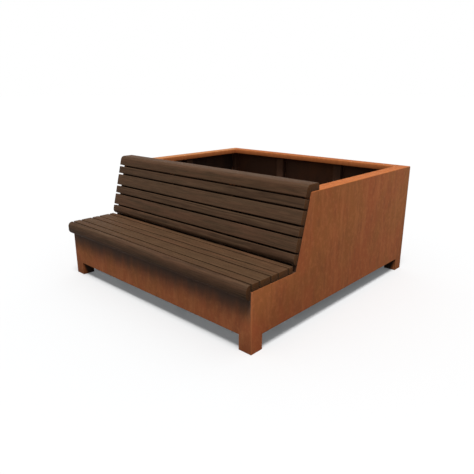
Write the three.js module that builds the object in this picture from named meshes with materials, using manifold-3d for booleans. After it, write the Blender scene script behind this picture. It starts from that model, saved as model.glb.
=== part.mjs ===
// Bench with planter: a square planter box of folded weathering steel that stands on its four corners.
// A notch in its side walls carries a seat, a leaning back and a cap of hardwood slats.
// Lengths are in millimetres. X runs to the right along the seat, Y to the back and Z up.
// The origin is on the ground, in the middle of the whole bench.

import * as THREE from 'three';
import { mergeVertices } from 'three/addons/utils/BufferGeometryUtils.js';
import Module from 'manifold-3d';

const wasm = await Module();
wasm.setup();

// Steel box
const boxWidth = 2000;
const boxDepth = 2000;
const sheet = 3; // thickness of every folded wall
const bendRadius = 3; // inside of a fold
const footWidth = 100; // each leg of a corner foot
const footHeight = 100;
const ledgeWidth = 50; // inward fold along the bottom of a wall
const rimWidth = 100; // inward fold along the top of the planter
const lipHeight = 40; // downward fold along the inner edge of the rim
const seatEdgeHeight = 405; // level edge of the side walls under the seat slats

// Timber
const slatThickness = 48;
const narrowSlatWidth = 60;
const wideSlatWidth = 90;
const lastSeatSlatWidth = 38; // cut narrower at the foot of the back
const lowestBackSlatWidth = 68;
const slatGap = 12;
const noseThickness = 40;
const noseHeight = 97;
const noseStandoff = 6; // spacer between the nose slat and the front wall
const kneeClearance = 31; // from the last seat slat to the foot of the back
const backStart = 45; // from the foot of the back to the lowest back slat, up the slope
const capSkirt = 39.5; // how far the cap reaches down behind its front
const capSeat = 90; // how far the cap reaches over the rim
const capRearEdge = 20; // rounding of the cap's upper rear edge
const roundedEdge = 35;
const easedEdge = 4;
const endInset = 2; // from a slat's end to the outer face of the side wall
const backTilt = THREE.MathUtils.degToRad(15);

// Carriers under the slats
const railWidth = 40; // angle along the inside of each side wall
const railThickness = 4;
const bearerFlange = 60; // tee between the front wall and the planter
const bearerPlateThickness = 5;
const bearerDepth = 80;

// Planter
const bearerWidth = 40; // box section under the floor
const bearerHeight = 60;
const floorBearerCount = 4;
const stiffenerWidth = 80; // channel up the inside of a wall
const stiffenerDepth = 50;
const drainRadius = 15;
const drainColumns = 4;
const drainRows = 3;

// Corners
const postWidth = 50;
const postClearance = 2; // around each post in the planter floor
const footPlateThickness = 6;
const anchorRadius = 7;

// Coach screws
const screwRadius = 4;
const screwHeadRadius = 7.5;
const screwHeadHeight = 5.5;
const screwBite = 32; // length inside the timber
const spacerRadius = 14;
const screwClearance = 0.5;
const noseScrewShares = [0.06, 0.37, 0.63, 0.94]; // of the box width
const capScrewShares = [0.07, 0.37, 0.63, 0.93]; // of the box width
const wideScrewShares = [0.25, 0.75]; // of a wide slat's width
const narrowScrewShares = [0.5]; // of any other slat's width

const fit = 0.3; // gap that stands for a welded or resting joint
const overrun = 10; // how far a cutting body passes what it cuts
const roundSteps = 6;
const bendSteps = 2;
const holeSteps = 4;
const hexSteps = 3;

// Derived places
const narrowSlat = { width: narrowSlatWidth, screwShares: narrowScrewShares };
const wideSlat = { width: wideSlatWidth, screwShares: wideScrewShares };
const lastSeatSlat = { width: lastSeatSlatWidth, screwShares: narrowScrewShares };
const lowestBackSlat = { width: lowestBackSlatWidth, screwShares: narrowScrewShares };
const seatPattern = [narrowSlat, wideSlat, narrowSlat, wideSlat, lastSeatSlat];
const backPattern = [lowestBackSlat, wideSlat, narrowSlat, wideSlat, narrowSlat];
const laidWidth = (pattern) => pattern.reduce((sum, { width }) => sum + width + slatGap, -slatGap);
const seatStart = slatGap - noseStandoff;
const kneeDepth = seatStart + laidWidth(seatPattern) + kneeClearance;
const seatTop = seatEdgeHeight + fit + slatThickness;
const capStart = backStart + laidWidth(backPattern) + slatGap;
const slopeLength = capStart + capSkirt;
const rimHeight = seatEdgeHeight + slopeLength * Math.cos(backTilt);
const planterFront = kneeDepth + slopeLength * Math.sin(backTilt);
const fold = sheet + bendRadius; // height or depth that a fold takes up
const inner = sheet + fit; // depth of what stands against the inside of a wall
const ledgeTop = footHeight + sheet;
const floorBottom = ledgeTop + fit + bearerHeight + fit;
const floorTop = floorBottom + sheet;
const frontReach = noseStandoff + noseThickness;
const halfWidth = boxWidth / 2;
const slatEnd = halfWidth - endInset;
const bearerX = boxWidth / 6; // the bearers stand a third of the width apart
const noseScrewHeight = (seatTop - noseHeight + seatEdgeHeight) / 2;
const capScrewDepth = planterFront + capSeat / 2;
const noseScrewPlaces = noseScrewShares.map((share) => boxWidth * share - halfWidth);
const capScrewPlaces = capScrewShares.map((share) => boxWidth * share - halfWidth);

// Shapes and solids

// A closed outline of [x, y, radius] corners, each rounded by its own radius.
function outline(corners) {
  const shape = new THREE.Shape();
  corners.forEach(([x, y, radius = 0], index) => {
    const corner = new THREE.Vector2(x, y);
    if (radius === 0) {
      if (index === 0) shape.moveTo(x, y);
      else shape.lineTo(x, y);
      return;
    }
    const before = corners.at(index - 1);
    const after = corners[(index + 1) % corners.length];
    const back = new THREE.Vector2(before[0], before[1]).sub(corner).normalize();
    const ahead = new THREE.Vector2(after[0], after[1]).sub(corner).normalize();
    const halfAngle = Math.acos(back.dot(ahead)) / 2;
    const middle = back.clone().add(ahead).setLength(radius / Math.sin(halfAngle)).add(corner);
    const tangent = radius / Math.tan(halfAngle);
    const start = corner.clone().addScaledVector(back, tangent).sub(middle);
    const end = corner.clone().addScaledVector(ahead, tangent).sub(middle);
    shape.absarc(middle.x, middle.y, radius, start.angle(), end.angle(), start.cross(end) < 0);
  });
  return shape;
}

function disc(x, y, radius) {
  return new THREE.Shape().absarc(x, y, radius, 0, Math.PI * 2);
}

function extrude(shape, from, to, steps, xAxis, yAxis, zAxis) {
  const options = { depth: to - from, bevelEnabled: false, curveSegments: steps };
  const axes = new THREE.Matrix4().makeBasis(xAxis, yAxis, zAxis);
  return new THREE.ExtrudeGeometry(shape, options).translate(0, 0, from).applyMatrix4(axes);
}

const right = new THREE.Vector3(1, 0, 0);
const rear = new THREE.Vector3(0, 1, 0);
const up = new THREE.Vector3(0, 0, 1);

// Each spans an outline between two planes: (Y, Z) along X, (X, Z) along Y and (X, Y) along Z.
function spanX(shape, a, b, steps = bendSteps) {
  return extrude(shape, Math.min(a, b), Math.max(a, b), steps, rear, up, right);
}

function spanY(shape, a, b, steps = bendSteps) {
  return extrude(shape, -Math.max(a, b), -Math.min(a, b), steps, right, up, rear.clone().negate());
}

function spanZ(shape, a, b, steps = bendSteps) {
  return extrude(shape, Math.min(a, b), Math.max(a, b), steps, right, rear, up);
}

function toSolid(geometry) {
  const bare = geometry.clone();
  bare.deleteAttribute('normal');
  bare.deleteAttribute('uv');
  const merged = mergeVertices(bare);
  const vertProperties = merged.attributes.position.array;
  const triVerts = Uint32Array.from(merged.index.array);
  return new wasm.Manifold(new wasm.Mesh({ numProp: 3, vertProperties, triVerts }));
}

function toGeometry(solid) {
  const { numProp, vertProperties, triVerts } = solid.getMesh();
  const geometry = new THREE.BufferGeometry();
  geometry.setAttribute('position', new THREE.BufferAttribute(vertProperties, numProp));
  geometry.setIndex(new THREE.BufferAttribute(triVerts, 1));
  geometry.computeVertexNormals();
  return geometry;
}

function join(first, ...others) {
  return toGeometry(others.reduce((sum, next) => sum.add(toSolid(next)), toSolid(first)));
}

function cut(body, tools) {
  return toGeometry(tools.reduce((rest, tool) => rest.subtract(toSolid(tool)), toSolid(body)));
}

// Folded walls. A wall's place function turns a depth inside its outer face into X or Y.

const sidePlace = (side) => (depth) => side * (halfWidth - depth);
const frontPlace = (depth) => depth;
const rearPlace = (depth) => boxDepth - depth;
const planterPlace = (depth) => planterFront + depth;

// The bottom edge of a wall: a foot at each end and the raised edge between them.
function footedEdge(start, end) {
  const raised = footHeight + fold;
  return [
    [start, 0],
    [start + footWidth, 0],
    [start + footWidth, raised],
    [end - footWidth, raised],
    [end - footWidth, 0],
    [end, 0],
  ];
}

function ledgeSection(place) {
  const root = footHeight + fold + sheet;
  return outline([
    [place(0), root],
    [place(0), footHeight, fold],
    [place(ledgeWidth), footHeight],
    [place(ledgeWidth), ledgeTop],
    [place(sheet), ledgeTop, bendRadius],
    [place(sheet), root],
  ]);
}

function rimSection(place) {
  const root = rimHeight - fold - sheet;
  return outline([
    [place(0), root],
    [place(0), rimHeight, fold],
    [place(rimWidth), rimHeight, fold],
    [place(rimWidth), rimHeight - lipHeight],
    [place(rimWidth - sheet), rimHeight - lipHeight],
    [place(rimWidth - sheet), rimHeight - sheet, bendRadius],
    [place(sheet), rimHeight - sheet, bendRadius],
    [place(sheet), root],
  ]);
}

// A wedge that mitres a wall at a corner. Its place function turns a depth inside the wall's outer face
// and a run along the wall from the corner into a point seen from above.
function mitre(place) {
  const seam = fit / Math.SQRT2;
  const reach = rimWidth + overrun;
  const corners = [
    place(-overrun, seam - overrun),
    place(reach, seam + reach),
    place(reach, seam - overrun),
  ];
  return spanZ(outline(corners), -overrun, rimHeight + overrun);
}

// Y on the line of the back at a height, and height on it at a Y, a depth behind the slats' seat.
const slopeY = (z, depth = 0) => {
  return kneeDepth + depth / Math.cos(backTilt) + (z - seatEdgeHeight) * Math.tan(backTilt);
};
const slopeZ = (y, depth = 0) => {
  return seatEdgeHeight + (y - kneeDepth - depth / Math.cos(backTilt)) / Math.tan(backTilt);
};

function sideWall(side) {
  const place = sidePlace(side);
  const wallTop = rimHeight - fold;
  const profile = outline([
    ...footedEdge(0, boxDepth),
    [boxDepth, wallTop],
    [slopeY(wallTop), wallTop],
    [kneeDepth, seatEdgeHeight],
    [0, seatEdgeHeight],
  ]);
  const web = spanX(profile, place(0), place(sheet));
  const ledge = spanY(ledgeSection(place), footWidth, boxDepth - footWidth);
  const rim = spanY(rimSection(place), planterFront, boxDepth);
  const rimMitre = mitre((depth, run) => [place(depth), planterFront + run]);
  const frontMitre = mitre((depth, run) => [place(depth), run]);
  const rearMitre = mitre((depth, run) => [place(depth), boxDepth - run]);
  return cut(join(web, ledge, cut(rim, [rimMitre])), [frontMitre, rearMitre]);
}

function frontWall() {
  const profile = outline([
    ...footedEdge(-halfWidth, halfWidth),
    [halfWidth, seatEdgeHeight],
    [-halfWidth, seatEdgeHeight],
  ]);
  const web = spanY(profile, 0, sheet);
  const ledge = spanX(ledgeSection(frontPlace), footWidth - halfWidth, halfWidth - footWidth);
  const mitres = [-1, 1].map((side) => mitre((depth, run) => [sidePlace(side)(run), depth]));
  const screwHole = (x) => spanY(disc(x, noseScrewHeight, screwRadius + screwClearance),
    -overrun, overrun, holeSteps);
  return cut(join(web, ledge), [...mitres, ...noseScrewPlaces.map(screwHole)]);
}

function rearWall() {
  const profile = outline([
    ...footedEdge(-halfWidth, halfWidth),
    [halfWidth, rimHeight - fold],
    [-halfWidth, rimHeight - fold],
  ]);
  const web = spanY(profile, boxDepth, boxDepth - sheet);
  const ledge = spanX(ledgeSection(rearPlace), footWidth - halfWidth, halfWidth - footWidth);
  const rim = spanX(rimSection(rearPlace), -halfWidth, halfWidth);
  const mitres = [-1, 1].map((side) => mitre((depth, run) => [sidePlace(side)(run), rearPlace(depth)]));
  return cut(join(web, ledge, rim), mitres);
}

// The planter's own front wall, behind the back slats. Its rim carries the cap.
function planterWall() {
  const wide = halfWidth - inner;
  const narrow = halfWidth - ledgeWidth - fit;
  const profile = outline([
    [-wide, footHeight + fold],
    [wide, footHeight + fold],
    [wide, rimHeight - fold],
    [-wide, rimHeight - fold],
  ]);
  const web = spanY(profile, planterFront, planterFront + sheet);
  const ledge = spanX(ledgeSection(planterPlace), -narrow, narrow);
  const rim = spanX(rimSection(planterPlace), -wide, wide);
  const mitres = [-1, 1].map((side) => mitre((depth, run) => [sidePlace(side)(run), planterPlace(depth)]));
  const screwHole = (x) => spanZ(disc(x, capScrewDepth, screwRadius + screwClearance),
    rimHeight - overrun, rimHeight + overrun, holeSteps);
  return join(web, ledge, cut(rim, [...mitres, ...capScrewPlaces.map(screwHole)]));
}

// Planter floor and what stiffens the box

function planterFloor() {
  const front = planterPlace(inner);
  const back = rearPlace(inner);
  const edge = halfWidth - inner;
  const notch = postWidth + postClearance;
  const plate = outline([
    [-edge, front],
    [edge, front],
    [edge, back - notch],
    [edge - notch, back - notch],
    [edge - notch, back],
    [notch - edge, back],
    [notch - edge, back - notch],
    [-edge, back - notch],
  ]);
  for (let column = 1; column <= drainColumns; column += 1) {
    for (let row = 1; row <= drainRows; row += 1) {
      const x = (column - (drainColumns + 1) / 2) * boxWidth / drainColumns;
      const y = front + (row - 1 / 2) * (back - front) / drainRows;
      plate.holes.push(disc(x, y, drainRadius));
    }
  }
  return spanZ(plate, floorBottom, floorTop, holeSteps);
}

// A rectangular tube, centred across and standing on its lower side, run along its length by one of
// the span functions.
function tube(span, centre, bottom, width, height, from, to) {
  const section = (wall, radius) => outline([
    [centre - width / 2 + wall, bottom + wall, radius],
    [centre + width / 2 - wall, bottom + wall, radius],
    [centre + width / 2 - wall, bottom + height - wall, radius],
    [centre - width / 2 + wall, bottom + height - wall, radius],
  ]);
  const bore = span(section(sheet, bendRadius), from - overrun, to + overrun);
  return cut(span(section(0, fold), from, to), [bore]);
}

function floorBearer(x) {
  const front = planterPlace(fold + fit);
  const back = rearPlace(fold + fit);
  return tube(spanY, x, ledgeTop + fit, bearerWidth, bearerHeight, front, back);
}

// A channel with its open side towards the wall. The place function turns a distance along the wall
// and a depth inside its outer face into a point seen from above.
function stiffener(place) {
  const half = stiffenerWidth / 2;
  const face = inner + stiffenerDepth;
  const section = outline([
    place(-half, inner),
    [...place(-half, face), fold],
    [...place(half, face), fold],
    place(half, inner),
    place(half - sheet, inner),
    [...place(half - sheet, face - sheet), bendRadius],
    [...place(sheet - half, face - sheet), bendRadius],
    place(sheet - half, inner),
  ]);
  return spanZ(section, floorTop + fit, rimHeight - fold - fit);
}

// Corners

function cornerPost(side, place, top) {
  const x = sidePlace(side)(inner + postWidth / 2);
  const front = Math.min(place(inner), place(inner + postWidth));
  return tube(spanZ, x, front, postWidth, postWidth, footPlateThickness + fit, top);
}

// A folded angle that closes the two inner sides of a foot, from the ground to the top of the ledges.
function footReturn(side, place) {
  const far = footWidth - fit;
  const section = outline([
    [sidePlace(side)(inner), place(far)],
    [sidePlace(side)(far), place(far), fold],
    [sidePlace(side)(far), place(inner)],
    [sidePlace(side)(far - sheet), place(inner)],
    [sidePlace(side)(far - sheet), place(far - sheet), bendRadius],
    [sidePlace(side)(inner), place(far - sheet)],
  ]);
  return spanZ(section, 0, ledgeTop);
}

// A plate that closes a foot at the ground, with a hole for an anchor.
function footPlateAt(side, place) {
  const near = inner;
  const far = footWidth - fit - sheet - fit;
  const plate = outline([
    [sidePlace(side)(near), place(near)],
    [sidePlace(side)(far), place(near)],
    [sidePlace(side)(far), place(far), bendRadius],
    [sidePlace(side)(near), place(far)],
  ]);
  const middle = (near + far) / 2;
  plate.holes.push(disc(sidePlace(side)(middle), place(middle), anchorRadius));
  return spanZ(plate, 0, footPlateThickness, holeSteps);
}

// Slat carriers

const screwSteps = (pattern, start) => {
  const places = [];
  let edge = start;
  for (const { width, screwShares } of pattern) {
    for (const share of screwShares) {
      places.push(edge + width * share);
    }
    edge += width + slatGap;
  }
  return places;
};

const holeAcross = (x, along) => {
  return spanZ(disc(x, along, screwRadius + screwClearance), -overrun, overrun, holeSteps);
};
const seatHoles = (x) => {
  return screwSteps(seatPattern, seatStart).map((y) => holeAcross(x, y).translate(0, 0, seatEdgeHeight));
};
const backHoles = (x) => {
  return screwSteps(backPattern, backStart).map((s) => {
    return holeAcross(x, s).rotateX(Math.PI / 2 - backTilt).translate(0, kneeDepth, seatEdgeHeight);
  });
};

// A strip under the seat slats, and one behind the back slats, each as deep as asked.
function seatStrip(end, depth) {
  return outline([
    [inner, seatEdgeHeight],
    [end, seatEdgeHeight],
    [end, seatEdgeHeight - depth],
    [inner, seatEdgeHeight - depth],
  ]);
}

function backStrip(depth) {
  const foot = seatEdgeHeight + fit;
  const wall = planterFront - fit;
  return outline([
    [slopeY(foot), foot],
    [slopeY(foot, depth), foot],
    [wall, slopeZ(wall, depth)],
    [wall, slopeZ(wall)],
  ]);
}

function seatRail(side) {
  const place = sidePlace(side);
  const end = slopeY(seatEdgeHeight, railWidth);
  const flange = spanX(seatStrip(end, railThickness), place(inner), place(inner + railWidth));
  const web = spanX(seatStrip(end, railWidth), place(inner), place(inner + railThickness));
  return cut(join(flange, web), seatHoles(place(inner + (railThickness + railWidth) / 2)));
}

function backRail(side) {
  const place = sidePlace(side);
  const flange = spanX(backStrip(railThickness), place(inner), place(inner + railWidth));
  const web = spanX(backStrip(railWidth), place(inner), place(inner + railThickness));
  return cut(join(flange, web), backHoles(place(inner + (railThickness + railWidth) / 2)));
}

function seatBearer(side) {
  const x = side * bearerX;
  const half = bearerFlange / 2;
  const halfPlate = bearerPlateThickness / 2;
  const flange = spanX(seatStrip(kneeDepth, railThickness), x - half, x + half);
  const web = spanX(seatStrip(planterFront - fit, bearerDepth), x - halfPlate, x + halfPlate);
  return cut(join(flange, web), seatHoles(x + side * (halfPlate + half) / 2));
}

function backBearer(side) {
  const x = side * bearerX;
  const half = bearerFlange / 2;
  const halfPlate = bearerPlateThickness / 2;
  const foot = seatEdgeHeight + fit;
  const wall = planterFront - fit;
  const gusset = outline([
    [slopeY(foot), foot],
    [wall, foot],
    [wall, slopeZ(wall)],
  ]);
  const flange = spanX(backStrip(railThickness), x - half, x + half);
  const web = spanX(gusset, x - halfPlate, x + halfPlate);
  return cut(join(flange, web), backHoles(x + side * (halfPlate + half) / 2));
}

// Slats

// A plain slat lying on its carriers, from its front edge along Y. The front edge may be fully rounded.
function slat(start, width, frontRadius = easedEdge) {
  const top = fit + slatThickness;
  const section = outline([
    [start, fit, easedEdge],
    [start, top, frontRadius],
    [start + width, top, easedEdge],
    [start + width, fit, easedEdge],
  ]);
  return spanX(section, -slatEnd, slatEnd, frontRadius === easedEdge ? bendSteps : roundSteps);
}

function noseSlat() {
  const front = -frontReach;
  const back = -noseStandoff;
  const bottom = seatTop - noseHeight;
  const section = outline([
    [back, bottom, easedEdge],
    [front, bottom, roundedEdge],
    [front, seatTop, roundedEdge],
    [back, seatTop, easedEdge],
  ]);
  const screwHole = (x) => spanY(disc(x, noseScrewHeight, screwRadius + fit),
    -noseStandoff - screwBite - fit, 0, holeSteps);
  return cut(spanX(section, -slatEnd, slatEnd, roundSteps), noseScrewPlaces.map(screwHole));
}

function capSlat() {
  const bottom = rimHeight + fit;
  const top = bottom + slatThickness;
  const face = -fit - slatThickness;
  const back = planterFront + capSeat;
  const skirt = (depth) => [
    kneeDepth + capStart * Math.sin(backTilt) + depth * Math.cos(backTilt),
    seatEdgeHeight + capStart * Math.cos(backTilt) - depth * Math.sin(backTilt),
  ];
  const section = outline([
    [...skirt(-fit), easedEdge],
    [...skirt(face), easedEdge],
    [slopeY(top, face), top, roundedEdge],
    [back, top, capRearEdge],
    [back, bottom, easedEdge],
    [slopeY(bottom, -fit), bottom],
  ]);
  const screwHole = (x) => spanZ(disc(x, capScrewDepth, screwRadius + fit),
    rimHeight - overrun, rimHeight + screwBite + fit, holeSteps);
  return cut(spanX(section, -slatEnd, slatEnd, roundSteps), capScrewPlaces.map(screwHole));
}

// Screws and spacers

// A hexagon head below Z = 0 and a shank of the given length above it.
function coachScrew(length) {
  const head = spanZ(disc(0, 0, screwHeadRadius), -screwHeadHeight, 0, hexSteps);
  const shank = spanZ(disc(0, 0, screwRadius), -screwHeadHeight / 2, length, holeSteps);
  return join(head, shank);
}

function spacer() {
  const ring = disc(0, 0, spacerRadius);
  ring.holes.push(disc(0, 0, screwRadius + screwClearance));
  return spanZ(ring, fit, noseStandoff - fit, holeSteps);
}

// Materials
const steel = { color: 0x80502f, roughness: 0.85, metalness: 0.2, flatShading: true };
const timber = { color: 0x5f4a3a, roughness: 0.75, metalness: 0, flatShading: true };
const zinc = { color: 0x8d9196, roughness: 0.5, metalness: 0.8, flatShading: true };

// Assembly
const bench = new THREE.Group();
bench.position.y = (frontReach - boxDepth) / 2;

function add(name, geometry, finish, parent = bench) {
  const mesh = new THREE.Mesh(geometry, new THREE.MeshStandardMaterial(finish));
  mesh.name = name;
  parent.add(mesh);
  return mesh;
}

add('front_wall', frontWall(), steel);
add('rear_wall', rearWall(), steel);
add('planter_front_wall', planterWall(), steel);
add('planter_floor', planterFloor(), steel);
for (let number = 1; number <= floorBearerCount; number += 1) {
  const x = (number - (floorBearerCount + 1) / 2) * boxWidth / (floorBearerCount + 1);
  add(`floor_bearer_${number}`, floorBearer(x), steel);
}

const seatGroup = new THREE.Group();
seatGroup.position.z = seatEdgeHeight;
bench.add(seatGroup);

const backGroup = new THREE.Group();
backGroup.position.set(0, kneeDepth, seatEdgeHeight);
backGroup.rotation.x = Math.PI / 2 - backTilt;
bench.add(backGroup);

const frontPostTop = seatEdgeHeight - railWidth - fit;
const rearPostTop = rimHeight - fold - fit;
const planterMiddle = (planterFront + boxDepth) / 2;
for (const [hand, side] of [['left', -1], ['right', 1]]) {
  add(`${hand}_side_wall`, sideWall(side), steel);
  add(`front_${hand}_post`, cornerPost(side, frontPlace, frontPostTop), steel);
  add(`rear_${hand}_post`, cornerPost(side, rearPlace, rearPostTop), steel);
  add(`front_${hand}_foot_return`, footReturn(side, frontPlace), steel);
  add(`rear_${hand}_foot_return`, footReturn(side, rearPlace), steel);
  add(`front_${hand}_foot_plate`, footPlateAt(side, frontPlace), steel);
  add(`rear_${hand}_foot_plate`, footPlateAt(side, rearPlace), steel);
  const rearStiffener = stiffener((along, depth) => [side * bearerX + along, rearPlace(depth)]);
  add(`rear_${hand}_stiffener`, rearStiffener, steel);
  const sideStiffener = stiffener((along, depth) => [sidePlace(side)(depth), planterMiddle + along]);
  add(`side_${hand}_stiffener`, sideStiffener, steel);
  add(`${hand}_seat_rail`, seatRail(side), steel);
  add(`${hand}_back_rail`, backRail(side), steel);
  add(`${hand}_seat_bearer`, seatBearer(side), steel);
  add(`${hand}_back_bearer`, backBearer(side), steel);
}

function addSlats(name, pattern, start, firstRadius, parent) {
  let edge = start;
  pattern.forEach(({ width }, index) => {
    const radius = index === 0 ? firstRadius : easedEdge;
    add(`${name}_${index + 1}`, slat(edge, width, radius), timber, parent);
    edge += width + slatGap;
  });
}

addSlats('seat_slat', seatPattern, seatStart, easedEdge, seatGroup);
addSlats('back_slat', backPattern, backStart, roundedEdge, backGroup);
add('seat_nose_slat', noseSlat(), timber);
add('back_cap_slat', capSlat(), timber);

noseScrewPlaces.forEach((x, index) => {
  const screw = add(`nose_screw_${index + 1}`, coachScrew(sheet + fit + noseStandoff + screwBite), zinc);
  screw.position.set(x, sheet + fit, noseScrewHeight);
  screw.rotation.x = Math.PI / 2;
  const ring = add(`nose_spacer_${index + 1}`, spacer(), zinc);
  ring.position.set(x, 0, noseScrewHeight);
  ring.rotation.x = Math.PI / 2;
});
capScrewPlaces.forEach((x, index) => {
  const screw = add(`cap_screw_${index + 1}`, coachScrew(sheet + fit + screwBite), zinc);
  screw.position.set(x, capScrewDepth, rimHeight - sheet - fit);
});

export default bench;
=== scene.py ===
# Bench with planter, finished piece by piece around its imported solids, in the order of its making.
# Lengths are in metres. X runs to the right along the seat, Y to the back and Z up.

import math
import random

import bmesh
import bpy
from mathutils import Matrix, Vector


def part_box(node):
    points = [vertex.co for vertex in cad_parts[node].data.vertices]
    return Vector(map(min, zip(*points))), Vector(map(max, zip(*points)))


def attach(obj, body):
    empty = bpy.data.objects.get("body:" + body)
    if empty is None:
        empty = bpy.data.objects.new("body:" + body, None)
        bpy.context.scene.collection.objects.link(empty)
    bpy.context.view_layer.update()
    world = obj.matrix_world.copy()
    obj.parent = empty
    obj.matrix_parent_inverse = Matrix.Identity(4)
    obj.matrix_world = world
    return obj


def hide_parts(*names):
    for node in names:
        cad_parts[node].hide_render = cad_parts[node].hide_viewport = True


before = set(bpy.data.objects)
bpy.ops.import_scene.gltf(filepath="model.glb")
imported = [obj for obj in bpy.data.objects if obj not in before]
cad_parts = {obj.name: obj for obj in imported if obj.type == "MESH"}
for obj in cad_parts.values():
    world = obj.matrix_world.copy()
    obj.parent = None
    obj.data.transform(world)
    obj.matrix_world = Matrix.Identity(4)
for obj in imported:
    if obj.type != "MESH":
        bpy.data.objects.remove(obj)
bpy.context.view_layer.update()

# Camera
# It stands off the right-hand front corner, a little below head height, and looks down on the seat,
# the right side wall and the rim of the planter.
camera_place = Vector((2.6056, -2.8239, 1.4908))
camera_tilt = math.radians(72.814)
camera_heading = math.radians(42.948)
camera_lens = 35.624
camera_sensor = 36
camera_range = 500

camera = bpy.data.objects.new("camera", bpy.data.cameras.new("camera"))
camera.data.lens = camera_lens
camera.data.sensor_width = camera_sensor
camera.data.clip_end = camera_range
camera.location = camera_place
camera.rotation_euler = (camera_tilt, 0, camera_heading)
bpy.context.scene.collection.objects.link(camera)
bpy.context.scene.camera = camera
bpy.context.scene.view_settings.view_transform = "Standard"


# Ground and light
# A white ground runs to the horizon under a white sky. A wide sun stands high over the right-hand front
# corner, so that the nose of the seat shades the front wall and the shadow keeps under the box.
ground_reach = 150.0
ground_drop = 0.0006
ground_white = (0.70, 0.70, 0.70, 1)
ground_bounce = (0.14, 0.14, 0.14, 1)
ground_haze = (0.079, 0.084, 0.088, 1)
sky_white = (1, 1, 1, 1)
sky_level = 0.42
sun_towards = Vector((0.205, -0.235, 1.0))
sun_width = math.radians(20)
sun_power = 3.0


def make(tree, kind, inputs=None, **settings):
    """Adds a shader node. Each input is a value, or an output of another node."""
    added = tree.nodes.new("ShaderNode" + kind)
    for name, value in settings.items():
        setattr(added, name, value)
    for socket, value in (inputs or {}).items():
        if isinstance(value, bpy.types.NodeSocket):
            tree.links.new(value, added.inputs[socket])
        else:
            added.inputs[socket].default_value = value
    return added


def worked_out(tree, rule, *values):
    """What one rule of arithmetic, such as ADD or MAXIMUM, makes of its values."""
    return make(tree, "Math", dict(enumerate(values)), operation=rule).outputs[0]


def seen_or_mirrored(tree):
    """1 where the eye sees the surface, also in a mirror or through glass, and 0 where it sheds light."""
    path = make(tree, "LightPath").outputs
    mirrored = worked_out(tree, "MAXIMUM", path["Is Glossy Ray"], path["Is Transmission Ray"])
    return worked_out(tree, "MAXIMUM", path["Is Camera Ray"], mirrored)


def mixed(tree, share, first, second):
    """Goes from the first colour to the second, which are inputs 6 and 7, as share goes from 0 to 1."""
    blend = make(tree, "Mix", {0: share, 6: first, 7: second}, data_type="RGBA")
    return blend.outputs[2]


def new_surface(name):
    """A material that is still empty, and its tree of shader nodes."""
    material = bpy.data.materials.new(name)
    material.use_nodes = True
    material.node_tree.nodes.clear()
    return material, material.node_tree


def new_object(name, mesh, material):
    made = bpy.data.objects.new(name, mesh)
    bpy.context.scene.collection.objects.link(made)
    mesh.materials.append(material)
    return made


def ground_surface():
    material, tree = new_surface("white_ground")
    seen = seen_or_mirrored(tree)
    paint = make(tree, "BsdfDiffuse", {"Color": mixed(tree, seen, ground_bounce, ground_white)})
    haze = make(tree, "Emission", {"Color": ground_haze, "Strength": seen})
    both = make(tree, "AddShader", {0: paint.outputs[0], 1: haze.outputs[0]})
    make(tree, "OutputMaterial", {"Surface": both.outputs[0]})
    return material


ground_mesh = bpy.data.meshes.new("ground")
ground_corners = [(-1, -1), (1, -1), (1, 1), (-1, 1)]
ground_mesh.from_pydata([(x * ground_reach, y * ground_reach, -ground_drop) for x, y in ground_corners],
                        [], [(0, 1, 2, 3)])
ground = new_object("ground", ground_mesh, ground_surface())

sky = bpy.data.worlds.new("white_sky")
sky.use_nodes = True
sky.node_tree.nodes.clear()
sky_strength = make(sky.node_tree, "MapRange",
                    {"Value": seen_or_mirrored(sky.node_tree), "To Min": sky_level, "To Max": 1.0})
sky_shader = make(sky.node_tree, "Background", {"Color": sky_white, "Strength": sky_strength.outputs[0]})
make(sky.node_tree, "OutputWorld", {"Surface": sky_shader.outputs[0]})
bpy.context.scene.world = sky

sun = bpy.data.objects.new("sun", bpy.data.lights.new("sun", "SUN"))
sun.data.energy = sun_power
sun.data.angle = sun_width
sun.rotation_euler = sun_towards.to_track_quat("Z", "Y").to_euler()
bpy.context.scene.collection.objects.link(sun)


# Folded walls
# Five walls of 3 mm weathering steel, laser cut, folded and welded, with the corner welds ground flush: two
# sides, the front under the seat, the rear and the planter's own front. Rain and sun rust the outside and
# the rims orange brown. Inside, the steel is dark with painted shade. The front under the nose of the seat
# is darker too, partly as dry steel and partly as painted shade from the nose. The rust also carries
# painted
# light: rims painted sunlit, shaded or with a sheen from wall to wall, sides lighter towards the rear and
# the bottom, and a painted lit band down each upright corner.
sheet = 0.003
cut_edge = 0.0005
cut_edge_steps = 2
cut_edge_angle = math.radians(50)
joined_distance = 0.00001
bend_angle = math.radians(30)
lip_height = 0.040
rim_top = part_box("rear_wall")[1].z
front_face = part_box("front_wall")[0].y
rear_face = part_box("rear_wall")[1].y
side_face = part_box("right_side_wall")[1].x
nose_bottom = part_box("seat_nose_slat")[0].z

# A spread is the low and the high value between which one look of a surface gives way to another.
wide_spread = (0.30, 0.70)
middle_spread = (0.35, 0.65)
upward_spread = (0.3, 0.9)
# A detail is the number of finer layers on a pattern of patches, and how strong they are.
soft_detail = (3.0, 0.5)
crisp_detail = (4.0, 0.6)

rust_red = (0.385, 0.110, 0.041, 1)
rust_olive = (0.345, 0.121, 0.040, 1)
cloud_size = (0.22, 0.22, 0.40)
cloud_spread = (0.36, 0.64)
rust_orange = (0.495, 0.168, 0.061, 1)
run_size = (0.060, 0.060, 0.36)
run_spread = (0.46, 0.70)
run_share = 0.50
rust_dark = (0.245, 0.082, 0.035, 1)
streak_size = (0.026, 0.026, 0.11)
streak_spread = (0.46, 0.72)
streak_share = 0.40
blotch_size = (0.024, 0.024, 0.034)
blotch_spread = (0.48, 0.66)
blotch_share = 0.46
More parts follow.
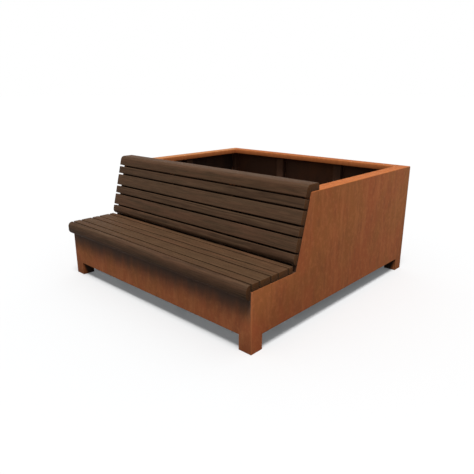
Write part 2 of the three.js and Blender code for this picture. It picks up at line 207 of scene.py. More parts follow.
# Painted light: the sides are darker at the front, lighter and paler at the rear, and the walls lighter
# towards the bottom. The front wall has even tones of its own, a little darker and bluer.
painted_light_side_tones = ((0.91, 0.85, 0.82, 1), (1.11, 1.17, 1.20, 1))
front_wall_tones = ((0.89, 0.94, 1.02, 1), (0.89, 0.94, 1.02, 1))
low_painted_light = 1.05
high_painted_light = 0.95

# Painted light: a lighter band down each upright corner, where a rounded corner would catch the light of
# the side.
painted_light_corner_orange = (0.435, 0.140, 0.052, 1)
painted_light_corner_fade = (0.0048, 0.0072)
painted_light_corner_wander = 0.0015
lip_colours = ((0.540, 0.168, 0.050, 1), (0.480, 0.145, 0.043, 1))
# Rim colours carry painted light: sunlit on the right, shaded on the rear, and with a painted sheen on the
# left.
painted_sunlit_rim = ((0.510, 0.158, 0.046, 1), (0.400, 0.118, 0.036, 1))
painted_shaded_rim = ((0.425, 0.142, 0.047, 1), (0.340, 0.108, 0.035, 1))
painted_sheen_rim = ((0.490, 0.208, 0.084, 1), (0.405, 0.165, 0.064, 1))
rim_detail = (5.0, 0.5)
# Painted shade inside the box: dark colours in patches, and a near black one for the left wall and the deep
# part of the feet.
painted_shade_inside = ((0.078, 0.040, 0.025, 1), (0.112, 0.050, 0.026, 1))
painted_deep_shade_inside = ((0.034, 0.021, 0.016, 1), (0.052, 0.028, 0.018, 1))
inside_shade_detail = (5.0, 0.6)
inside_shade_spread = (0.40, 0.65)
# On the feet's inner sides, rust near the outside, the more so the lower, and painted shade further in.
foot_shade_fade = (0.0216, 0.0504)
foot_shade_slope = 0.30
# The front under the nose goes to a darker colour, partly dry steel out of the rain and partly painted
# shade for the nose's shadow.
dry_steel_with_painted_shade = (0.088, 0.055, 0.041, 1)
dry_and_shade_reach = 0.184
dry_and_shade_gap = 0.002
drip_size = (0.060, 0.060, 0.80)
drip_reach = 0.016

grain_size = (0.0016, 0.0016, 0.0016)
grain_detail = (5.0, 0.65)
grain_tones = (0.80, 1.16)
grain_strength = 0.5
grain_depth = 0.0005
rust_roughness = (0.72, 0.92)
rust_gloss = 0.08


def multiplied(tree, first, second):
    """Two colours, or two places, multiplied number by number."""
    return make(tree, "VectorMath", {0: first, 1: second}, operation="MULTIPLY").outputs[0]


def patches(tree, place, size, detail=soft_detail):
    """Cloudy values from 0 to 1, in patches of about that size along X, Y and Z."""
    scaled = multiplied(tree, place, tuple(1 / length for length in size))
    clouds = make(tree, "TexNoise", {"Vector": scaled, "Scale": 1.0, "Detail": detail[0],
                                     "Roughness": detail[1]})
    return clouds.outputs["Fac"]


def ramp(tree, value, spread, start=0.0, end=1.0):
    """Goes smoothly from start to end as the value goes over the spread."""
    step = make(tree, "MapRange", {"Value": value, "From Min": spread[0], "From Max": spread[1],
                                   "To Min": start, "To Max": end}, interpolation_type="SMOOTHSTEP")
    return step.outputs[0]


def axis(tree, place, letter):
    """The X, Y or Z of a place or of a direction."""
    return make(tree, "SeparateXYZ", {0: place}).outputs[letter]


def facing(tree, letter):
    """How much the surface faces along X, Y or Z, from -1 to 1."""
    return axis(tree, make(tree, "NewGeometry").outputs["True Normal"], letter)


def depths(tree, place):
    """How deep a place lies behind the nearer side of the box, behind its front and behind its rear."""
    across = worked_out(tree, "ABSOLUTE", axis(tree, place, "X"))
    return [
        worked_out(tree, "SUBTRACT", side_face, across),
        worked_out(tree, "SUBTRACT", axis(tree, place, "Y"), front_face),
        worked_out(tree, "SUBTRACT", rear_face, axis(tree, place, "Y")),
    ]


def least(tree, values):
    """The lowest of several values."""
    lowest = values[0]
    for value in values[1:]:
        lowest = worked_out(tree, "MINIMUM", lowest, value)
    return lowest


def outer_side(tree, place):
    """1 on the outer faces of the box, and 0 inside it."""
    return worked_out(tree, "LESS_THAN", least(tree, depths(tree, place)), sheet / 2)


def folded_rim(tree, place):
    """1 on the rim and its lip, and 0 below them."""
    return worked_out(tree, "GREATER_THAN", axis(tree, place, "Z"), rim_top - lip_height - sheet / 2)


def painted_light_corner_band(tree, place):
    """1 along the four upright corners of the box and 0 elsewhere: a band of painted light, where a rounded
    corner would catch the light of the side.
    """
    from_side, from_front, from_rear = depths(tree, place)
    far = worked_out(tree, "MAXIMUM", from_side, least(tree, [from_front, from_rear]))
    ragged = ramp(tree, patches(tree, place, blotch_size), wide_spread, -painted_light_corner_wander, painted_light_corner_wander)
    return ramp(tree, worked_out(tree, "ADD", far, ragged), painted_light_corner_fade, 1.0, 0.0)


def unshaded_near_outside(tree, place):
    """1 on the feet's inner sides close to the outside, the more so the lower, where they show rust, and 0
    further in, where they take painted shade.
    """
    rise = worked_out(tree, "MULTIPLY", axis(tree, place, "Z"), foot_shade_slope)
    far = worked_out(tree, "ADD", least(tree, depths(tree, place)), rise)
    return ramp(tree, far, foot_shade_fade, 1.0, 0.0)


def rusted(tree, place, tones):
    """The colour of an upright face that stands in the rain, multiplied by its tones at the front and at
    the rear, and by painted light that is lighter towards the bottom.
    """
    clouds = ramp(tree, patches(tree, place, cloud_size), cloud_spread)
    colour = mixed(tree, clouds, rust_red, rust_olive)
    runs = ramp(tree, patches(tree, place, run_size), run_spread, end=run_share)
    colour = mixed(tree, runs, colour, rust_orange)
    streaks = ramp(tree, patches(tree, place, streak_size), streak_spread, end=streak_share)
    colour = mixed(tree, streaks, colour, rust_dark)
    blotches = ramp(tree, patches(tree, place, blotch_size, crisp_detail), blotch_spread, end=blotch_share)
    colour = mixed(tree, blotches, colour, rust_orange)
    # Painted light, lighter towards the bottom, times the tones at the front and the rear.
    depth = make(tree, "MapRange", {"Value": axis(tree, place, "Y"),
                                    "From Min": front_face, "From Max": rear_face})
    height = make(tree, "MapRange", {"Value": axis(tree, place, "Z"), "From Max": rim_top,
                                     "To Min": low_painted_light, "To Max": high_painted_light})
    tone = multiplied(tree, mixed(tree, depth.outputs[0], *tones), height.outputs[0])
    return multiplied(tree, colour, tone)


def cover(tree, colour, roughness, gloss, height, strength, depth):
    """Puts the colour on the surface, with a fine relief that follows the height."""
    relief = make(tree, "Bump", {"Height": height, "Strength": strength, "Distance": depth})
    skin = make(tree, "BsdfPrincipled", {
        "Base Color": colour,
        "Roughness": roughness,
        "Specular IOR Level": gloss,
        "Normal": relief.outputs[0],
    })
    make(tree, "OutputMaterial", {"Surface": skin.outputs[0]})


def steel_surface(name, rim, inside_shade=painted_shade_inside, tones=painted_light_side_tones, dry_and_shade_heights=None, rust_near_outside=False):
    """Weathering steel, with the two colours of its rim, and inside the box two dark colours of painted
    shade. Between the dry heights, when they are given, the outside goes from rust to a darker steel under
    an overhang, partly dry steel and partly painted shade. With the flag for the feet, their inner sides
    show rust near the outside and painted shade further in."""
    material, tree = new_surface(name)
    place = make(tree, "TexCoord").outputs["Object"]
    outside = rusted(tree, place, tones)
    # Under an overhang: dry steel and painted shade.
    if dry_and_shade_heights:
        drips = ramp(tree, patches(tree, place, drip_size), wide_spread, -drip_reach, drip_reach)
        height = worked_out(tree, "ADD", axis(tree, place, "Z"), drips)
        outside = mixed(tree, ramp(tree, height, dry_and_shade_heights), outside, dry_steel_with_painted_shade)
    # A band of painted light down the upright corners.
    outside = mixed(tree, painted_light_corner_band(tree, place), outside, painted_light_corner_orange)
    outer = outer_side(tree, place)
    blotches = ramp(tree, patches(tree, place, blotch_size, rim_detail), middle_spread)
    outside = mixed(tree, outer, mixed(tree, blotches, *lip_colours), outside)
    # Upward faces take the rim colours, with the painted light of their wall.
    upwards = ramp(tree, facing(tree, "Z"), upward_spread)
    outside = mixed(tree, upwards, outside, mixed(tree, blotches, *rim))
    # Inside the box the colour is painted shade.
    clouds = ramp(tree, patches(tree, place, cloud_size, inside_shade_detail), inside_shade_spread)
    inside = mixed(tree, clouds, *inside_shade)
    # The feet's inner sides show rust near the outside and painted shade further in.
    if rust_near_outside:
        inside = mixed(tree, unshaded_near_outside(tree, place), inside, rusted(tree, place, tones))
    # Only the outside and the rim show rust; everywhere else is painted shade.
    outside_or_rim = worked_out(tree, "MAXIMUM", outer, folded_rim(tree, place))
    grain = patches(tree, place, grain_size, grain_detail)
    colour = multiplied(tree, mixed(tree, outside_or_rim, inside, outside),
                        ramp(tree, grain, wide_spread, *grain_tones))
    roughness = ramp(tree, grain, wide_spread, *rust_roughness)
    cover(tree, colour, roughness, rust_gloss, grain, grain_strength, grain_depth)
    return material


def smooth_bends():
    """A modifier group that shades smoothly round the bends and keeps the cut edges crisp."""
    group = bpy.data.node_groups.new("smooth_bends", "GeometryNodeTree")
    for way in ("INPUT", "OUTPUT"):
        group.interface.new_socket("Geometry", in_out=way, socket_type="NodeSocketGeometry")
    start = group.nodes.new("NodeGroupInput")
    end = group.nodes.new("NodeGroupOutput")
    angle = group.nodes.new("GeometryNodeInputMeshEdgeAngle")
    soft = group.nodes.new("FunctionNodeCompare")
    soft.data_type = "FLOAT"
    soft.operation = "LESS_EQUAL"
    soft.inputs["B"].default_value = bend_angle
    faces = group.nodes.new("GeometryNodeSetShadeSmooth")
    faces.domain = "FACE"
    edges = group.nodes.new("GeometryNodeSetShadeSmooth")
    edges.domain = "EDGE"
    group.links.new(angle.outputs["Unsigned Angle"], soft.inputs["A"])
    group.links.new(start.outputs[0], faces.inputs["Geometry"])
    group.links.new(faces.outputs[0], edges.inputs["Geometry"])
    group.links.new(soft.outputs[0], edges.inputs["Shade Smooth"])
    group.links.new(edges.outputs[0], end.inputs[0])
    return group


bend_group = smooth_bends()


def finish_piece(node, material):
    """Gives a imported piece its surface, eases its cut edges and smooths its bends."""
    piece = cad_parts[node]
    piece.material_slots[0].material = material
    joined = piece.modifiers.new("joined_corners", "WELD")
    joined.merge_threshold = joined_distance
    ease = piece.modifiers.new("eased_edges", "BEVEL")
    ease.width = cut_edge
    ease.segments = cut_edge_steps
    ease.limit_method = "ANGLE"
    ease.angle_limit = cut_edge_angle
    smooth = piece.modifiers.new("smooth_bends", "NODES")
    smooth.node_group = bend_group


# Lit and shaded copies of one steel, with their rims painted sunlit, shaded or with a sheen.
painted_sunlit_steel = steel_surface("rusted_wall_painted_sunlit_rim", painted_sunlit_rim)
painted_shaded_steel = steel_surface("rusted_wall_painted_shaded_rim", painted_shaded_rim)
# The front wall is darker under the nose, with dry steel and painted shade.
front_steel = steel_surface("rusted_front", painted_sunlit_rim, tones=front_wall_tones,
                            dry_and_shade_heights=(nose_bottom - dry_and_shade_reach, nose_bottom - dry_and_shade_gap))
left_steel = steel_surface("rusted_left_wall", painted_sheen_rim, painted_deep_shade_inside)
finish_piece("rear_wall", painted_shaded_steel)
finish_piece("planter_front_wall", painted_shaded_steel)
finish_piece("left_side_wall", left_steel)
finish_piece("right_side_wall", painted_sunlit_steel)
finish_piece("front_wall", front_steel)


# Corner posts, feet, floor and stiffeners
# Box sections, plates and channels of the same steel, welded inside the walls in short stitches. They are
# dark with painted shade, as they stand inside the box, and the inner sides of the feet show rust near the
# outside, the more so the lower, and painted shade further in.
inner_steel = steel_surface("inner_steel", painted_shaded_rim)
foot_steel = steel_surface("foot_steel", painted_shaded_rim, painted_deep_shade_inside, rust_near_outside=True)
finish_piece("planter_floor", inner_steel)
for number in (1, 2, 3, 4):
    finish_piece(f"floor_bearer_{number}", inner_steel)
for hand in ("left", "right"):
    for end in ("front", "rear"):
        finish_piece(f"{end}_{hand}_post", inner_steel)
        finish_piece(f"{end}_{hand}_foot_return", foot_steel)
        finish_piece(f"{end}_{hand}_foot_plate", inner_steel)
    finish_piece(f"rear_{hand}_stiffener", inner_steel)
    finish_piece(f"side_{hand}_stiffener", inner_steel)

stitch_length = 0.040
stitch_pitch = 0.160
weld_size = 0.0045
weld_sink = weld_size / 8
weld_end = 0.35
weld_taper = 8
weld_ripple = 0.0022
weld_ripple_shares = (0.94, 1.06)
weld_wander_shares = (0.95, 1.05)
weld_crown = 0.18
weld_arc = 4
weld_brown = (0.085, 0.042, 0.026, 1)
weld_orange = (0.170, 0.066, 0.030, 1)
weld_patch = (0.006, 0.006, 0.006)
weld_roughness = (0.65, 0.85)
weld_gloss = 0.12
weld_strength = 0.4
weld_dice = random.Random(3)
inner_front = front_face + sheet
inner_rear = rear_face - sheet
inner_side = side_face - sheet
across = Vector((1, 0, 0))
level = Vector((0, 1, 0))
upright = Vector((0, 0, 1))


def weld_surface():
    material, tree = new_surface("rusted_weld")
    place = make(tree, "TexCoord").outputs["Object"]
    grain = patches(tree, place, grain_size, crisp_detail)
    rust = ramp(tree, patches(tree, place, weld_patch), middle_spread)
    roughness = ramp(tree, grain, wide_spread, *weld_roughness)
    cover(tree, mixed(tree, rust, weld_brown, weld_orange), roughness, weld_gloss,
          grain, weld_strength, grain_depth)
    return material


def close_rings(vertices, faces, base, count):
    """Joins the rings of count vertices that start at base, each to the next, and closes both ends."""
    last = len(vertices) - count
    for start in range(base, last, count):
        for index in range(count):
            a = start + index
            b = start + (index + 1) % count
            faces.append((a, b, b + count, a + count))
    faces.append(tuple(reversed(range(base, base + count))))
    faces.append(tuple(range(last, last + count)))


def closed_mesh(name, vertices, faces):
    """A smooth mesh with its faces turned outwards and its sharp corners kept."""
    mesh = bpy.data.meshes.new(name)
    mesh.from_pydata(vertices, [], faces)
    sides = bmesh.new()
    sides.from_mesh(mesh)
    bmesh.ops.recalc_face_normals(sides, faces=sides.faces)
    sides.to_mesh(mesh)
    sides.free()
    mesh.polygons.foreach_set("use_smooth", [True] * len(mesh.polygons))
    mesh.set_sharp_from_angle(angle=bend_angle)
    return mesh


def add_bead(vertices, faces, start, end, first, second):
    """One fillet bead along a corner. Its two faces leave the corner in the directions first and second."""
    steps = 2 * round((end - start).length / weld_ripple)
    base = len(vertices)
    for step in range(steps + 1):
        share = step / steps
        taper = min(1, weld_end + weld_taper * min(share, 1 - share))
        size = weld_size * taper * weld_ripple_shares[step % 2] * weld_dice.uniform(*weld_wander_shares)
        corner = start.lerp(end, share)
        vertices.append(corner - (first + second) * weld_sink)
        for index in range(weld_arc + 1):
            angle = math.pi / 2 * index / weld_arc
            bulge = size * (1 - weld_crown * math.sin(2 * angle))
            vertices.append(corner + (first * math.cos(angle) + second * math.sin(angle)) * bulge)
    close_rings(vertices, faces, base, weld_arc + 2)


def weld(name, runs):
    """Stitches along each run, which is a start, an end and the directions of the two faces."""
    vertices, faces = [], []
    for start, end, first, second in runs:
        whole = (end - start).length
        count = max(1, round(whole / stitch_pitch))
        half = (end - start).normalized() * min(stitch_length, whole) / 2
        for number in range(count):
            middle = start.lerp(end, (number + 0.5) / count)
            add_bead(vertices, faces, middle - half, middle + half, first, second)
    beads = new_object(name, closed_mesh(name, vertices, faces), weld_metal)
    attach(beads, "root")


def upright_run(x, y, low, high, first, second):
    """A run up a corner at x and y, over the height of a piece."""
    return Vector((x, y, low.z)), Vector((x, y, high.z)), first, second


weld_metal = weld_surface()
upright_runs = []
for hand, side in (("left", -1), ("right", 1)):
    wall = inner_side * side
    inwards = -across * side
    low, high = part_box(f"rear_{hand}_stiffener")
    upright_runs.append(upright_run(low.x, inner_rear, low, high, -across, -level))
    upright_runs.append(upright_run(high.x, inner_rear, low, high, across, -level))
    low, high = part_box(f"side_{hand}_stiffener")
    upright_runs.append(upright_run(wall, low.y, low, high, -level, inwards))
    upright_runs.append(upright_run(wall, high.y, low, high, level, inwards))
    for end, end_wall, way in (("front", inner_front, -1), ("rear", inner_rear, 1)):
        low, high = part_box(f"{end}_{hand}_post")
        x = min(low.x, high.x, key=abs)
        y = min(low.y, high.y, key=abs)
        upright_runs.append(upright_run(x, end_wall, low, high, inwards, -level * way))
        upright_runs.append(upright_run(wall, y, low, high, -level * way, inwards))
weld("post_and_stiffener_welds", upright_runs)

floor_low, floor_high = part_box("planter_floor")
floor_runs = [(Vector((floor_low.x, inner_rear, floor_high.z)),
               Vector((floor_high.x, inner_rear, floor_high.z)), upright, -level)]
for side in (-1, 1):
    floor_runs.append((Vector((inner_side * side, floor_low.y, floor_high.z)),
                       Vector((inner_side * side, floor_high.y, floor_high.z)), upright, -across * side))
for number in (1, 2, 3, 4):
    low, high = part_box(f"floor_bearer_{number}")
    for x, way in ((low.x, -1), (high.x, 1)):
        floor_runs.append((Vector((x, low.y, floor_low.z)), Vector((x, high.y, floor_low.z)),
                           across * way, -upright))
weld("floor_welds", floor_runs)


# Rails and bearers
# Steel angles along the side walls, and steel tees between the front wall and the planter, carry the slats.
# They are welded on in stitches, and the slats are screwed to them from below.
back_tilt = math.radians(15)
rail_depth = 0.040
web_thickness = 0.005
web_stitch_gap = 0.010
slope = Vector((0, math.sin(back_tilt), math.cos(back_tilt)))
slope_out = Vector((0, -math.cos(back_tilt), math.sin(back_tilt)))


def reach(node, direction):
    """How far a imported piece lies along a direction, lowest and highest."""
    places = [vertex.co.dot(direction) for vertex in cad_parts[node].data.vertices]
    return min(places), max(places)


carrier_runs = []
for hand, side in (("left", -1), ("right", 1)):
    for place in ("seat", "back"):
        finish_piece(f"{hand}_{place}_rail", inner_steel)
        finish_piece(f"{hand}_{place}_bearer", inner_steel)
    wall = across * inner_side * side
    low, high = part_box(f"{hand}_seat_rail")
    carrier_runs.append((wall + Vector((0, low.y, low.z)), wall + Vector((0, high.y, low.z)),
                         -upright, -across * side))
    start, end = reach(f"{hand}_back_rail", slope)
    behind = reach(f"{hand}_back_rail", slope_out)[1] - rail_depth
    carrier_runs.append((wall + slope * (start + rail_depth) + slope_out * behind,
                         wall + slope * (end - rail_depth) + slope_out * behind,
                         -slope_out, -across * side))
    low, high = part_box(f"{hand}_seat_bearer")
    middle = (low.x + high.x) / 2
    top = high.z - web_stitch_gap
    for y, way in ((inner_front, 1), (floor_low.y - sheet, -1)):
        for turn in (-1, 1):
            x = middle + turn * web_thickness / 2
            carrier_runs.append((Vector((x, y, low.z)), Vector((x, y, top)), across * turn, level * way))
weld("carrier_welds", carrier_runs)


# Seat and back slats
# Planed boards of a dark hardwood with eased edges, 60 and 90 mm wide in turn, screwed on from below. The
# last of the seat is ripped down to 38 mm, and the lowest of the back, 68 mm wide, has a rounded lower
# edge. Each board has its own grain and its own tone. The back boards carry a painted sheen, and the nose
# and the ends of the boards painted shade.
eased_edge = 0.004
rounded_edge = 0.035
end_radius = 0.0035
end_steps = 3
arc_steps = 6
board_steps = 24
board_bow = 0.0005
seat_shade = Vector((1.0, 1.0, 0.97))
# The back's tint is paler and bluer: a painted sheen.
back_painted_sheen = Vector((1.03, 1.09, 1.18))
board_tones = (0.93, 1.07)
# Painted shade towards the lower edge of the nose, over this reach.
lower_edge_shade_reach = 0.060
# Painted shade on the ends of the boards: darker towards the underside, lighter towards the top.
end_under_painted_shade = 0.80
end_top_painted_light = 1.12
log_length = 50
heart_distance = (0.05, 0.14)
dice = random.Random(97990)

wood_dark = (0.052, 0.0272, 0.0138, 1)
wood_light = (0.109, 0.0605, 0.0312, 1)
ring_width = 0.0042
ring_detail = 2.0
ring_wander = 0.015
wander_size = (0.9, 0.09, 0.09)
wander_spread = (0.0, 1.0)
fibre_size = (0.22, 0.0011, 0.0011)
fibre_spread = (0.35, 0.70)
fibre_share = 0.55
fibre_strength = 0.45
fibre_depth = 0.0004
wood_red = (0.101, 0.0480, 0.0250, 1)
red_size = (0.35, 0.03, 0.03)
fade_size = (0.12, 0.012, 0.012)
fade_tones = (0.86, 1.14)
pore_dark = (0.022, 0.011, 0.0050, 1)
pore_size = (0.016, 0.0006, 0.0006)
pore_detail = (1.0, 0.5)
pore_spread = (0.62, 0.74)
pore_share = 0.7
dent_spread = (0.60, 0.75)
dent_share = 0.6
wood_end = (0.083, 0.0325, 0.0104)
end_ring_tones = (0.7, 1.3)
endwise_spread = (0.75, 0.95)
wood_roughness = (0.62, 0.80)
wood_gloss = 0.075


def wood_surface():
    material, tree = new_surface("dark_hardwood")
    grain = make(tree, "Attribute", attribute_name="grain").outputs["Vector"]
    tone = make(tree, "Attribute", attribute_name="tone").outputs["Fac"]
    tint_and_painted_shade = make(tree, "Attribute", attribute_name="tint_and_painted_shade").outputs["Vector"]
    section = make(tree, "CombineXYZ", {"Y": axis(tree, grain, "Y"), "Z": axis(tree, grain, "Z")})
    radius = make(tree, "VectorMath", {0: section.outputs[0]}, operation="LENGTH").outputs["Value"]
    wander = ramp(tree, patches(tree, grain, wander_size), wander_spread, -ring_wander / 2, ring_wander / 2)
    count = worked_out(tree, "DIVIDE", worked_out(tree, "ADD", radius, wander), ring_width)
    rings = make(tree, "TexNoise", {"W": count, "Scale": 1.0, "Detail": ring_detail},
                 noise_dimensions="1D").outputs["Fac"]
    fibre = patches(tree, grain, fibre_size, crisp_detail)
    pores = patches(tree, grain, pore_size, pore_detail)
    colour = mixed(tree, ramp(tree, rings, wide_spread), wood_dark, wood_light)
    colour = mixed(tree, ramp(tree, fibre, fibre_spread, end=fibre_share), colour, wood_dark)
    patchy = ramp(tree, patches(tree, grain, red_size), middle_spread)
    colour = mixed(tree, worked_out(tree, "MULTIPLY", patchy, tone), colour, wood_red)
    colour = multiplied(tree, colour, ramp(tree, patches(tree, grain, fade_size), wide_spread, *fade_tones))
    colour = mixed(tree, ramp(tree, pores, pore_spread, end=pore_share), colour, pore_dark)
    endwise = ramp(tree, worked_out(tree, "ABSOLUTE", facing(tree, "X")), endwise_spread)
    cut_rings = multiplied(tree, wood_end, ramp(tree, rings, wide_spread, *end_ring_tones))
    # The board's tint and painted shade multiply its colour.
    colour = multiplied(tree, mixed(tree, endwise, colour, cut_rings), tint_and_painted_shade)
    roughness = ramp(tree, fibre, wide_spread, *wood_roughness)
    relief = worked_out(tree, "SUBTRACT", fibre, ramp(tree, pores, dent_spread, end=dent_share))
    cover(tree, colour, roughness, wood_gloss, relief, fibre_strength, fibre_depth)
    return material


def rounded(corners):
    """Points round an outline of (a, b, radius) corners, with an arc at each corner that has a radius."""
    points = []
    for index, (a, b, radius) in enumerate(corners):
        corner = Vector((a, b))
        if radius == 0:
            points.append(corner)
            continue
        back = (Vector(corners[index - 1][:2]) - corner).normalized()
        ahead = (Vector(corners[(index + 1) % len(corners)][:2]) - corner).normalized()
        half = back.angle(ahead) / 2
        middle = corner + (back + ahead).normalized() * radius / math.sin(half)
        start = corner + back * radius / math.tan(half) - middle
        sweep = start.angle_signed(corner + ahead * radius / math.tan(half) - middle)
        for step in range(arc_steps + 1):
            turn = Matrix.Rotation(-sweep * step / arc_steps, 2)
            points.append(middle + turn @ start)
    return points


def drawn_in(points, depth):
    """The same outline, each point moved inwards by the depth."""
    moved = []
    for index, point in enumerate(points):
        along = points[(index + 1) % len(points)] - points[index - 1]
        moved.append(point + Vector((-along.y, along.x)).normalized() * depth)
    return moved


def area(points):
    return sum(p.x * q.y - p.y * q.x for p, q in zip(points, points[1:] + points[:1])) / 2


def board(name, corners, along, out, left, right, tint_and_painted_shade, lower_edge_shade):
    """A board from left to right, its section drawn in the plane of the directions along and out. Its
    colour is multiplied by its tint and painted shade, and by more painted shade at the edge where along
    starts. Its ends carry painted shade as well, darker towards the underside."""
    outline = rounded(corners)
    if area(outline) < 0:
        outline.reverse()
    low = Vector((min(p.x for p in outline), min(p.y for p in outline)))
    high = Vector((max(p.x for p in outline), max(p.y for p in outline)))
    middle = (low + high) / 2
    heart_way = dice.uniform(0, 2 * math.pi)
    heart = Vector((math.cos(heart_way), math.sin(heart_way))) * dice.uniform(*heart_distance)
    start = dice.uniform(0, log_length)
    phase = dice.uniform(0, 2 * math.pi)
    tone = dice.uniform(0, 1)
    # Each board's tint and painted shade, times a random tone.
    tint_and_painted_shade = tint_and_painted_shade * dice.uniform(*board_tones)
    turns = [math.pi / 2 * step / end_steps for step in range(end_steps)]
    ends = [(end_radius * (1 - math.sin(turn)), end_radius * (1 - math.cos(turn))) for turn in turns]
    stations = [(left + depth, inset) for inset, depth in ends]
    for step in range(board_steps + 1):
        share = step / board_steps
        stations.append((left + end_radius + (right - left - 2 * end_radius) * share, 0))
    stations += [(right - depth, inset) for inset, depth in reversed(ends)]
    vertices, grain, tints_and_painted_shades, faces = [], [], [], []
    for x, inset in stations:
        ring = drawn_in(outline, inset) if inset else outline
        bow = board_bow * math.sin(phase + 2 * math.pi * (x - left) / (right - left))
        for point in ring:
            vertices.append(Vector((x, 0, 0)) + along * (point.x + bow) + out * point.y)
            grain.extend((x + start, *(point - middle + heart)))
            # Painted shade: darker towards the edge where along starts.
            painted_shade_factor = min((point.x - low.x) / lower_edge_shade_reach, 1)
            painted_shade_factor = lower_edge_shade + (1 - lower_edge_shade) * painted_shade_factor
            # The ends are darker towards the underside: painted shade.
            if inset:
                painted_shade_factor *= end_under_painted_shade + (end_top_painted_light - end_under_painted_shade) * (point.y - low.y) / (high.y - low.y)
            tints_and_painted_shades.extend(tint_and_painted_shade * painted_shade_factor)
    close_rings(vertices, faces, 0, len(outline))
    mesh = closed_mesh(name, vertices, faces)
    mesh.attributes.new("grain", "FLOAT_VECTOR", "POINT").data.foreach_set("vector", grain)
    mesh.attributes.new("tone", "FLOAT", "POINT").data.foreach_set("value", [tone] * len(vertices))
    mesh.attributes.new("tint_and_painted_shade", "FLOAT_VECTOR", "POINT").data.foreach_set("vector", tints_and_painted_shades)
    return new_object(name, mesh, hardwood)


def lay_board(node, corners, along, out, tint_and_painted_shade, lower_edge_shade=1.0):
    """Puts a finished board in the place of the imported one."""
    left, right = reach(node, across)
    piece = board(node + "_board", corners, along, out, left, right, tint_and_painted_shade, lower_edge_shade)
    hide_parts(node)
    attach(piece, "root")


hardwood = wood_surface()
for number in (1, 2, 3, 4, 5):
    for place, along, out in (("seat", level, upright), ("back", slope, slope_out)):
        node = f"{place}_slat_{number}"
        near, far = reach(node, along)
        under, top = reach(node, out)
        front_radius = rounded_edge if node == "back_slat_1" else eased_edge
        lay_board(node, [
            (near, under, eased_edge),
            (near, top, front_radius),
            (far, top, eased_edge),
            (far, under, eased_edge),
        ], along, out, back_painted_sheen if place == "back" else seat_shade)


# Nose slat and cap slat
# The nose closes the front of the seat, and the cap hooks over the rim at the top of the back. Both are
# thicker boards of the same hardwood with rounded outer corners. Screws hold the nose to the front wall and
# the cap to the rim.
# The nose is painted darker as painted shade, and darker still towards its lower edge.
nose_painted_shade = Vector((0.92, 0.94, 1.0))
nose_lower_painted_shade = 0.62
cap_shade = Vector((0.90, 0.93, 0.97))
cap_rear_edge = 0.020
nose_low, nose_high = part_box("seat_nose_slat")
lay_board("seat_nose_slat", [
    (nose_low.z, -nose_high.y, eased_edge),
    (nose_low.z, -nose_low.y, rounded_edge),
    (nose_high.z, -nose_low.y, rounded_edge),
    (nose_high.z, -nose_high.y, eased_edge),
], upright, -level, nose_painted_shade, nose_lower_painted_shade)

slat_gap = reach("back_slat_5", slope)[0] - reach("back_slat_4", slope)[1]
cap_start = reach("back_slat_5", slope)[1] + slat_gap
back_face, front_plane = reach("back_slat_5", slope_out)
cap_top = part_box("back_cap_slat")[1].z
cap_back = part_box("back_cap_slat")[1].y
cap_seat = rim_top + back_face - reach("left_back_bearer", slope_out)[1]


def back_point(along, out, radius=0.0):
    """A point of the back, given along its slope and out from it, as Y and Z."""
    point = slope * along + slope_out * out
    return point.y, point.z, radius


def at_height(height, out, radius=0.0):
    """A point of the back at a height."""
    along = (height - out * slope_out.z) / slope.z
    return back_point(along, out, radius)


lay_board("back_cap_slat", [
    back_point(cap_start, back_face, eased_edge),
    back_point(cap_start, front_plane, eased_edge),
    at_height(cap_top, front_plane, rounded_edge),
    (cap_back, cap_top, cap_rear_edge),
    (cap_back, cap_seat, eased_edge),
    at_height(cap_seat, back_face),
], level, upright, cap_shade)


# Screws and spacers
# Zinc-plated coach screws with hexagon heads hold the nose from behind the front wall, the cap from under
# the rim and each other slat from under its four carriers, with one screw in a narrow slat and two in a
# wide one. Rings keep the nose off the wall.
zinc_light = (0.52, 0.53, 0.54, 1)
zinc_dull = (0.30, 0.31, 0.31, 1)
zinc_patch = (0.004, 0.004, 0.004)
zinc_roughness = (0.35, 0.60)
zinc_metal = 0.85


def zinc_surface():
    material, tree = new_surface("dull_zinc")
    place = make(tree, "TexCoord").outputs["Object"]
    patch = patches(tree, place, zinc_patch, crisp_detail)
    skin = make(tree, "BsdfPrincipled", {
        "Base Color": mixed(tree, ramp(tree, patch, middle_spread), zinc_light, zinc_dull),
        "Metallic": zinc_metal,
        "Roughness": ramp(tree, patch, wide_spread, *zinc_roughness),
    })
    make(tree, "OutputMaterial", {"Surface": skin.outputs[0]})
    return material


zinc = zinc_surface()
for number in (1, 2, 3, 4):
    for name in ("nose_screw", "nose_spacer", "cap_screw"):
        finish_piece(f"{name}_{number}", zinc)

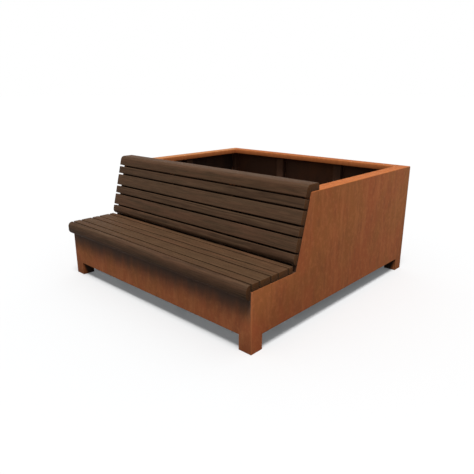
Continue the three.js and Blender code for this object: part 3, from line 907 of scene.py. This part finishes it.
flange = 0.004
narrow_slat_limit = 0.075
narrow_slat_shares = (0.5,)
wide_slat_shares = (0.25, 0.75)
carrier_columns = {"rail": 0.9747, "bearer": 0.3496}
washer_radius = 0.0090
washer_height = 0.0012
washer_bevel = washer_height / 3
washer_sides = 20
head_radius = 0.0075
head_height = 0.0055
head_chamfer = 0.0010
head_sides = 6
shank_radius = 0.0040
shank_plain = 0.0060
shank_sides = 10
thread_root = 0.0031
thread_pitch = 0.0040
thread_root_share = 0.3
thread_crest_share = 0.9
screw_bite = 0.032
tip_length = 0.0060
tip_radius = thread_root / 8


def add_turned(vertices, faces, start, way, profile, sides):
    """A solid of revolution, or a prism, from (distance, radius) pairs along its axis."""
    first = way.orthogonal().normalized()
    second = way.cross(first)
    base = len(vertices)
    for distance, radius in profile:
        for index in range(sides):
            angle = 2 * math.pi * index / sides
            spoke = first * math.cos(angle) + second * math.sin(angle)
            vertices.append(start + way * distance + spoke * radius)
    close_rings(vertices, faces, base, sides)


def coach_screw(vertices, faces, seat, way):
    """A coach screw and its washer. The washer lies on seat, and the screw goes in the direction way."""
    add_turned(vertices, faces, seat, -way, [
        (0, washer_radius - washer_bevel),
        (washer_bevel, washer_radius),
        (washer_height, washer_radius),
    ], washer_sides)
    add_turned(vertices, faces, seat - way * washer_height, -way, [
        (0, head_radius),
        (head_height - head_chamfer, head_radius),
        (head_height, head_radius - head_chamfer),
    ], head_sides)
    profile = [(-washer_height, shank_radius), (shank_plain, shank_radius)]
    end = flange + screw_bite - tip_length
    count = round((end - shank_plain) / thread_pitch)
    for number in range(count):
        turn = shank_plain + (end - shank_plain) * number / count
        profile.append((turn + thread_pitch * thread_root_share, thread_root))
        profile.append((turn + thread_pitch * thread_crest_share, shank_radius))
    profile.append((flange + screw_bite, tip_radius))
    add_turned(vertices, faces, seat, way, profile, shank_sides)


for place, along, out in (("seat", level, upright), ("back", slope, slope_out)):
    for carrier, column in carrier_columns.items():
        for hand, side in (("left", -1), ("right", 1)):
            vertices, faces = [], []
            underside = reach(f"{hand}_{place}_{carrier}", out)[1] - flange
            for number in (1, 2, 3, 4, 5):
                near, far = reach(f"{place}_slat_{number}", along)
                shares = wide_slat_shares if far - near > narrow_slat_limit else narrow_slat_shares
                for share in shares:
                    seat = across * column * side + along * (near + (far - near) * share) + out * underside
                    coach_screw(vertices, faces, seat, out)
            name = f"{hand}_{place}_{carrier}_screws"
            screws = new_object(name, closed_mesh(name, vertices, faces), zinc)
            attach(screws, "root")
